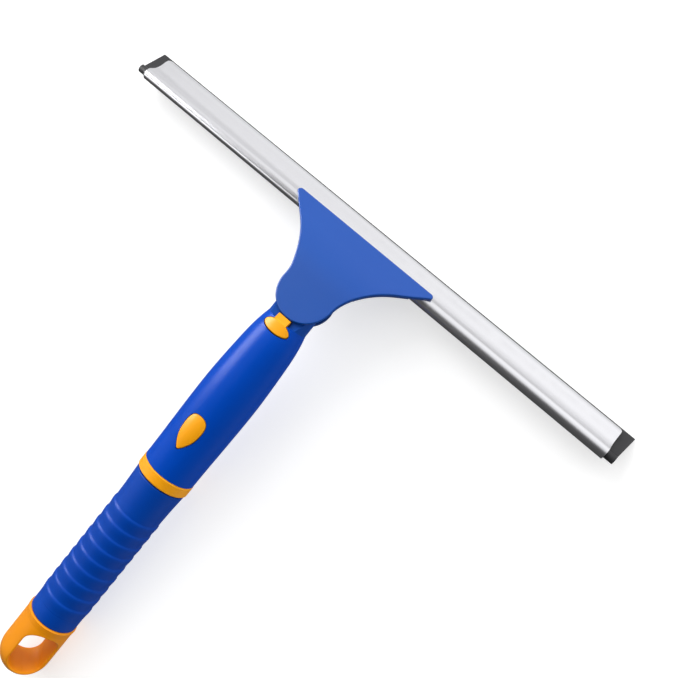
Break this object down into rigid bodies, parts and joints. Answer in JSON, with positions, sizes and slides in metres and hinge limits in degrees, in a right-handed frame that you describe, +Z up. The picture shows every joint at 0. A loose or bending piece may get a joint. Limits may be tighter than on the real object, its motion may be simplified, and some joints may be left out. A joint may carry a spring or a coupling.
{
  "type": "window squeegee",
  "caption": "Hand squeegee with a rubber blade in a metal channel, a swivelling head with a lock button, and a ribbed pull-off grip with a slanting hanging eye.",
  "frame": {"origin": "centre of the footprint, at the bottom, with the squeegee lying face up on the rubber's lip and the cap's dome", "axes": "+X along the blade, +Y from the grip to the blade, +Z up"},
  "size_m": [0.3544, 0.3284, 0.0473],
  "materials": {
    "plate_blue": "satin",
    "clamp_blue": "satin",
    "body_blue": "gloss",
    "tongue_blue": "satin",
    "signal_orange": "satin",
    "grip_rubber": "matte",
    "blade_rubber": "matte",
    "channel_aluminium": "satin",
    "steel": "satin",
    "core_plastic": "matte"
  },
  "bodies": {
    "handle": {"swivel_tongue": "tongue_blue", "body_top_shell": "body_blue", "body_bottom_shell": "body_blue", "shell_screws": "steel"},
    "head": {"head_top_plate": "plate_blue", "head_bottom_clamp": "clamp_blue", "aluminium_channel": "channel_aluminium", "rubber_blade": "blade_rubber", "clamp_screws": "steel", "pivot_screw": "steel", "pivot_washer": "steel"},
    "swivel_button": {"swivel_lock_button": "signal_orange", "swivel_lock_spring": "steel"},
    "release_button": {"release_button": "signal_orange", "latch_yoke": "core_plastic", "release_spring": "steel"},
    "grip": {"collar_ring": "signal_orange", "grip_tube": "core_plastic", "grip_sleeve": "grip_rubber", "end_cap": "signal_orange"}
  },
  "joints": [
    {"name": "head_swivel", "type": "hinge", "parent": "handle", "child": "head", "pos_m": [0, 0.11171, 0.04134], "axis": [0, 0.2105, 0.9776], "range_deg": [-75, 75]},
    {"name": "swivel_lock_press", "type": "slide", "parent": "handle", "child": "swivel_button", "axis": [0, -0.2105, -0.9776], "range_m": [0, 0.002], "stiffness_N_per_m": 1200, "springref_m": -0.001, "deforming": ["swivel_lock_spring"]},
    {"name": "release_press", "type": "slide", "parent": "handle", "child": "release_button", "axis": [0, 0.0769, -0.997], "range_m": [0, 0.0018], "stiffness_N_per_m": 1500, "springref_m": -0.001, "deforming": ["release_spring"]},
    {"name": "grip_pull", "type": "slide", "parent": "handle", "child": "grip", "axis": [0, -0.997, -0.0769], "range_m": [0, 0.045]}
  ]
}
